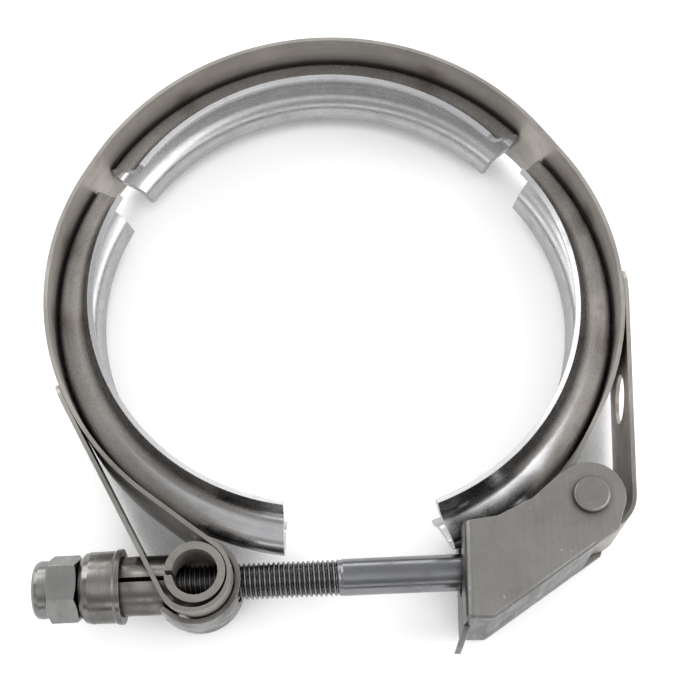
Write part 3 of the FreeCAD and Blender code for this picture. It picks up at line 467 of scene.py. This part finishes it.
# %% [markdown]
# The clamp is made of three arcs. The strip opens by a straight stretch at each of its two gaps,
# so the left and the right arc have centres of their own, a few millimetres off the middle.

# %% Centres of the arcs
def polar(centre, radius_mm, degrees, height_mm=0.0):
    """A point at that radius and angle round a centre, in metres."""
    angle = math.radians(degrees)
    offset = Vector((radius_mm * math.cos(angle), radius_mm * math.sin(angle), height_mm))
    return centre + offset * MM


LEFT_GAP, RIGHT_GAP = 152.3, 35.65
LEFT_SHIFT, RIGHT_SHIFT = 4.07, 7.88
MIDDLE = Vector((0, 0, 0))
LEFT_CENTRE = polar(MIDDLE, LEFT_SHIFT, LEFT_GAP + 90)
RIGHT_CENTRE = polar(MIDDLE, RIGHT_SHIFT, RIGHT_GAP - 90)
print("left arc's centre %.1f mm off the middle, right arc's %.1f mm"
      % (LEFT_CENTRE.length / MM, RIGHT_CENTRE.length / MM))

# %% [markdown]
# The rolled strip is a warm grey, stained brown by heat round its spot welds, and its sheared
# edges are darker. The grain runs round the ring.

# %% Strip
WELD_RADIUS, WELD_HEIGHT = 61.0, 4.2
WELD_ANGLES = ((MIDDLE, (66, 126)), (LEFT_CENTRE, (168, 186, 236)), (RIGHT_CENTRE, (22, -8, -44)))
WELDS = [polar(centre, WELD_RADIUS, angle, height) for centre, angles in WELD_ANGLES
         for angle in angles for height in (-WELD_HEIGHT, WELD_HEIGHT)]

strip_steel = steel("strip_steel", face=(0.55, 0.51, 0.465), edge=(0.38, 0.357, 0.328), rough=0.42,
                    grain=(1500, (0.02, 1, 1)), round_grain=True, stain=0.45, metallic=0.6,
                    welds=WELDS, darker_from=-45 * MM)
for node in ("band", "trunnion_tube", "pivot_bush"):
    dress(node, strip_steel)
print("strip dressed, %d welds" % len(WELDS))

# %% [markdown]
# The three segments are roll-formed, so their sections turn in round bends that carry long smooth
# highlights. Their section is that of the solids, with the bends fully round: from the base a
# flange leans outwards to the knee, and a foot leans further to the lip.

# %% Section of a segment
BACK_RADIUS = 61.5
SHEET = 1.4
BASE_HALF = 2.7
FLANGE_LEAN, FOOT_LEAN = 20.0, 66.0
KNEE_DEPTH = 6.8
FOOT_LENGTH = 4.45
BASE_BEND, KNEE_BEND = 2.3, 4.0
LIP_LAND = 0.5
BEND_STEPS = 8


def run(lean):
    """Direction in the section, as (radius, height), at that lean from the inward radial line."""
    return Vector((-math.cos(math.radians(lean)), math.sin(math.radians(lean))))


def across(lean):
    """The direction square to that run, on the side where the lean grows."""
    return Vector((math.sin(math.radians(lean)), math.cos(math.radians(lean))))


def fold(corner, before, after, radius):
    """A round bend of the sheet in place of a corner of its section."""
    turn = 1 if after > before else -1
    reach = radius * math.tan(math.radians(abs(after - before)) / 2)
    centre = corner - run(before) * reach + across(before) * turn * radius
    return [centre - across(before + (after - before) * step / BEND_STEPS) * turn * radius
            for step in range(BEND_STEPS + 1)]


def segment_section():
    """The section's outline: base, flange, bend, foot and lip outside, then the same inside."""
    lean, foot = math.radians(FLANGE_LEAN), math.radians(FOOT_LEAN)
    base = Vector((BACK_RADIUS, BASE_HALF))
    knee = base + run(FLANGE_LEAN) * (KNEE_DEPTH / math.cos(lean))
    lip = knee + run(FOOT_LEAN) * FOOT_LENGTH
    inner_base = base - Vector((SHEET, SHEET * (1 - math.sin(lean)) / math.cos(lean)))
    between = (FLANGE_LEAN + FOOT_LEAN) / 2
    inner_knee = knee - across(between) * (SHEET / math.cos((foot - lean) / 2))
    inner_lip = lip - across(FOOT_LEAN) * SHEET
    land = [inner_lip + across(FOOT_LEAN) * LIP_LAND * math.cos(foot),
            inner_lip - run(FOOT_LEAN) * LIP_LAND * math.sin(foot)]
    outside = (fold(base, 90, FLANGE_LEAN, BASE_BEND + SHEET)
               + fold(knee, FLANGE_LEAN, FOOT_LEAN, KNEE_BEND))
    inside = (fold(inner_base, 90, FLANGE_LEAN, BASE_BEND)
              + fold(inner_knee, FLANGE_LEAN, FOOT_LEAN, KNEE_BEND + SHEET))
    upper = outside + [lip] + land + inside[::-1]
    return upper + [Vector((point.x, -point.y)) for point in reversed(upper)]


SECTION = segment_section()
print("section of %d points" % len(SECTION))

# %% [markdown]
# Each segment is that section swept round its own arc's centre, a little too far at both ends,
# and then cut off with a slant.

# %% Segments
SWEEP_STEP = 2.0
SWEEP_BEYOND = 3.0
SEGMENT_SMOOTH = 40
# The CAD node, its arc's centre, the angles where it starts and ends, and the slants there.
SEGMENTS = (("segment_top", MIDDLE, 40.9, 150.3, 11.0, 11.0),
            ("segment_left", LEFT_CENTRE, 152.9, 263.5, 6.5, 6.5),
            ("segment_right", RIGHT_CENTRE, -67.5, 40.2, -5.0, 11.0))


def cut_end(mesh, centre, angle, slant, way_out):
    """Cut the sweep off at that angle and close the cut.

    way_out is 1 where the segment ends and -1 where it starts.
    """
    outward = polar(MIDDLE, 1 / MM, angle)
    round_way = polar(MIDDLE, 1 / MM, angle + 90)
    normal = round_way * way_out - outward * math.tan(math.radians(slant))
    cut = bmesh.ops.bisect_plane(mesh, geom=mesh.verts[:] + mesh.edges[:] + mesh.faces[:],
                                 plane_co=polar(centre, BACK_RADIUS, angle), plane_no=normal,
                                 clear_outer=True)
    rim = [item for item in cut["geom_cut"] if isinstance(item, bmesh.types.BMEdge)]
    bmesh.ops.edgeloop_fill(mesh, edges=rim)


def formed_segment(centre, start, end, start_slant, end_slant):
    """One segment, swept from angle to angle."""
    mesh = bmesh.new()
    first, sweep = start - SWEEP_BEYOND, end - start + 2 * SWEEP_BEYOND
    steps = math.ceil(sweep / SWEEP_STEP)
    rings = [[mesh.verts.new(polar(centre, point.x, first + sweep * step / steps, point.y))
              for point in SECTION] for step in range(steps + 1)]
    for ring, following in zip(rings, rings[1:]):
        for corner in range(len(SECTION)):
            after = (corner + 1) % len(SECTION)
            mesh.faces.new((ring[corner], ring[after], following[after], following[corner]))
    cut_end(mesh, centre, start, start_slant, -1)
    cut_end(mesh, centre, end, end_slant, 1)
    return mesh


def finish_mesh(name, mesh, matrix, finish, body, smooth_angle):
    """Turn the mesh into a piece with smooth rounds and sharp corners that rides on a body."""
    data = bpy.data.meshes.new(name)
    bmesh.ops.recalc_face_normals(mesh, faces=mesh.faces)
    mesh.to_mesh(data)
    mesh.free()
    data.transform(matrix)
    piece = bpy.data.objects.new(name, data)
    scene.collection.objects.link(piece)
    data.materials.append(finish.material)
    data.shade_smooth()
    data.set_sharp_from_angle(angle=math.radians(smooth_angle))
    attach(piece, body)
    print("%s: %d faces" % (name, len(data.polygons)))
    return piece


segment_steel = steel("segment_steel", face=(0.52, 0.518, 0.522), edge=(0.46, 0.46, 0.46),
                      rough=0.26, grain=(1800, (0.02, 1, 1)), round_grain=True, stain=0.12,
                      patches=130, upright_shade=0.8)
for node, centre, start, end, start_slant, end_slant in SEGMENTS:
    dress(node, segment_steel)
    mesh = formed_segment(centre, start, end, start_slant, end_slant)
    piece = finish_mesh(node + "_formed", mesh, Matrix(), segment_steel, "ring", SEGMENT_SMOOTH)
    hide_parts(node)

# %% [markdown]
# The latch was brushed before it was folded, and it has the nicks of a part that is handled.

# %% Latch
latch_steel = steel("latch_steel", face=(0.24, 0.237, 0.23), edge=(0.29, 0.278, 0.26), rough=0.30,
                    grain=(1300, (1, 0.06, 0.06)), stain=0.35, patches=110, wear_and_highlight=0.85, upright_shade=0.3,
                    nicks=0.7)
dress("latch", latch_steel)
rivet_steel = steel("rivet_steel", face=(0.26, 0.25, 0.235), edge=(0.26, 0.25, 0.235), rough=0.30,
                    grain=(500, (1, 1, 1)), stain=0.4, patches=260, dents=0.3)
dress("rivet", rivet_steel)
print("latch dressed")

# %% [markdown]
# Saddle, collar and nut are smoother. The saddle and the collar are mottled, the nut is even, and
# the ring in its crown is grey-blue nylon.

# %% Saddle, collar and nut
NYLON_FLECKS = 900
NYLON_DARK, NYLON_LIGHT = (0.16, 0.18, 0.24), (0.24, 0.26, 0.32)
NYLON_GLOSSY, NYLON_DULL = 0.42, 0.6

saddle_steel = steel("saddle_steel", face=(0.26, 0.248, 0.235), edge=(0.30, 0.28, 0.265),
                     rough=0.19, grain=(600, (0.3, 1, 1)), stain=0.95, patches=190, upright_shade=0.35)
dress("saddle", saddle_steel)
collar_steel = steel("collar_steel", face=(0.25, 0.242, 0.23), edge=(0.25, 0.242, 0.23),
                     rough=0.17, grain=(1200, (1, 0.06, 0.06)), stain=0.85, patches=170,
                     dents=0.12, upright_shade=0.35)
dress("collar", collar_steel)
nut_steel = steel("nut_steel", face=(0.26, 0.257, 0.25), edge=(0.26, 0.257, 0.25), rough=0.24,
                  grain=(700, (1, 0.2, 0.2)), stain=0.3, patches=200, wear_and_highlight=0.7, upright_shade=0.65)
dress("locknut", nut_steel)

nylon = Finish("insert_nylon")
flecks = nylon.noise(NYLON_FLECKS, detail=FINE_DETAIL)
nylon.put(nylon.blend(flecks, NYLON_DARK, NYLON_LIGHT), nylon.shader.inputs["Base Color"])
nylon.put(nylon.span(flecks, *GRAIN_RANGE, NYLON_GLOSSY, NYLON_DULL),
          nylon.shader.inputs["Roughness"])
dress("nut_insert", nylon)
print("saddle, collar and nut dressed")

# %% [markdown]
# The T-bolt has a rolled 5/16-24 thread over more than half its length. A texture of stripes
# would stay flat in outline, so the thread is a real helix: a grid round the bolt whose rows
# climb by one pitch a turn. Stations are counted along the bolt from the trunnion, in
# millimetres.

# %% Thread
PITCH = 25.4 / 24
CREST, ROOT = 3.95, 3.36
ROOT_FLAT, FLANK = 0.12, 0.72
RUN_OUT = 1.5 * PITCH
THREAD_FROM, THREAD_TO = -33.38, 30.8
END_CHAMFER = 0.75
ROUND_STEPS = 40
ROWS = 8
MERGE = 0.004 * MM
ON_RIM = 0.001 * MM


def thread_radius(station, turn):
    """Radius of the thread at that station, at that share of a turn round the bolt."""
    phase = (station / PITCH - turn) % 1.0
    rise = min(1.0, max(0.0, (abs(phase - 0.5) * 2 - ROOT_FLAT) / FLANK))
    fade = min(1.0, max(0.0, (THREAD_TO - station) / RUN_OUT))
    radius = CREST - (CREST - ROOT) * (1 - rise) * fade
    return min(radius, CREST - END_CHAMFER + (station - THREAD_FROM))


def turned_point(radius, turn, station):
    """A point round the bolt's own axis, in metres."""
    angle = turn * 2 * math.pi
    return Vector((radius * math.cos(angle), radius * math.sin(angle), station)) * MM


def threaded_shank():
    """Rows of points that climb the helix, closed at both ends."""
    mesh = bmesh.new()
    first = int(THREAD_FROM / PITCH * ROWS) - ROWS - 1
    last = int(THREAD_TO / PITCH * ROWS) + 1
    rows = []
    for row in range(first, last + 1):
        points = []
        for step in range(ROUND_STEPS + 1):
            turn = step / ROUND_STEPS
            station = min(THREAD_TO, max(THREAD_FROM, (row / ROWS + turn) * PITCH))
            radius = thread_radius(station, turn)
            points.append(mesh.verts.new(turned_point(radius, turn, station)))
        rows.append(points)
    for lower, higher in zip(rows, rows[1:]):
        for step in range(ROUND_STEPS):
            mesh.faces.new((lower[step], lower[step + 1], higher[step + 1], higher[step]))
    bmesh.ops.remove_doubles(mesh, verts=mesh.verts, dist=MERGE)
    bmesh.ops.dissolve_degenerate(mesh, edges=mesh.edges, dist=MERGE)
    for station in (THREAD_FROM, THREAD_TO):
        rim = [vertex for vertex in mesh.verts if abs(vertex.co.z - station * MM) < ON_RIM]
        rim.sort(key=lambda vertex: math.atan2(vertex.co.y, vertex.co.x))
        mesh.faces.new(rim if station == THREAD_TO else rim[::-1])
    return mesh


bolt_mesh = threaded_shank()
print("thread of %d faces" % len(bolt_mesh.faces))

# %% [markdown]
# The plain shank goes on from the thread to the head, a short round bar across the bolt with
# rounded ends. Both are turned shapes. The finished bolt is then laid on its line in the saddle.

# %% T-bolt
SHANK = 3.965
SHANK_OVERLAP, SHANK_CONE = 0.02, 1.2
HEAD_AT, HEAD_RADIUS, HEAD_HALF, HEAD_ROUNDING = 65.5, 4.18, 9.48, 0.8
ROUNDING_STEPS = 5
BOLT_SMOOTH = 30


def add_turned(mesh, outline, axis_matrix):
    """A closed round body from (radius, station) pairs, given in that frame."""
    rings = [[mesh.verts.new(axis_matrix @ turned_point(radius, step / ROUND_STEPS, station))
              for step in range(ROUND_STEPS)] for radius, station in outline]
    for lower, higher in zip(rings, rings[1:]):
        for step in range(ROUND_STEPS):
            after = (step + 1) % ROUND_STEPS
            mesh.faces.new((lower[step], lower[after], higher[after], higher[step]))
    mesh.faces.new(rings[0][::-1])
    mesh.faces.new(rings[-1])


def rounded_end(radius, station, rounding, direction):
    """Pairs (radius, station) of a rounded rim that closes towards the axis."""
    pairs = []
    for step in range(ROUNDING_STEPS + 1):
        angle = math.radians(90 * step / ROUNDING_STEPS)
        pairs.append((radius - rounding * (1 - math.cos(angle)),
                      station - direction * rounding * (1 - math.sin(angle))))
    return pairs


joints = {joint["name"]: joint for joint in frame["record"]["behaviour"]["joints"]}
trunnion = Vector(joints["bolt_swing"]["pos_m"])
along = -Vector(joints["bolt_draw"]["axis"]).normalized()
aside = VERTICAL.cross(along)
bolt_axes = Matrix((aside, along.cross(aside), along)).transposed().to_4x4()

add_turned(bolt_mesh, [(CREST, THREAD_TO - SHANK_OVERLAP), (SHANK, THREAD_TO + SHANK_CONE),
                       (SHANK, HEAD_AT)], Matrix())
head_outline = (rounded_end(HEAD_RADIUS, -HEAD_HALF, HEAD_ROUNDING, -1)[::-1]
                + rounded_end(HEAD_RADIUS, HEAD_HALF, HEAD_ROUNDING, 1))
add_turned(bolt_mesh, head_outline, Matrix.Translation((0, 0, HEAD_AT * MM))
           @ Matrix.Rotation(math.pi / 2, 4, "X"))
bolt_steel = steel("bolt_steel", face=(0.23, 0.233, 0.243), edge=(0.23, 0.233, 0.243), rough=0.20,
                   grain=(900, (0.1, 1, 1)), stain=0.35)
t_bolt = finish_mesh("t_bolt_threaded", bolt_mesh, Matrix.Translation(trunnion) @ bolt_axes,
                     bolt_steel, "bolt", BOLT_SMOOTH)
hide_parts("t_bolt")
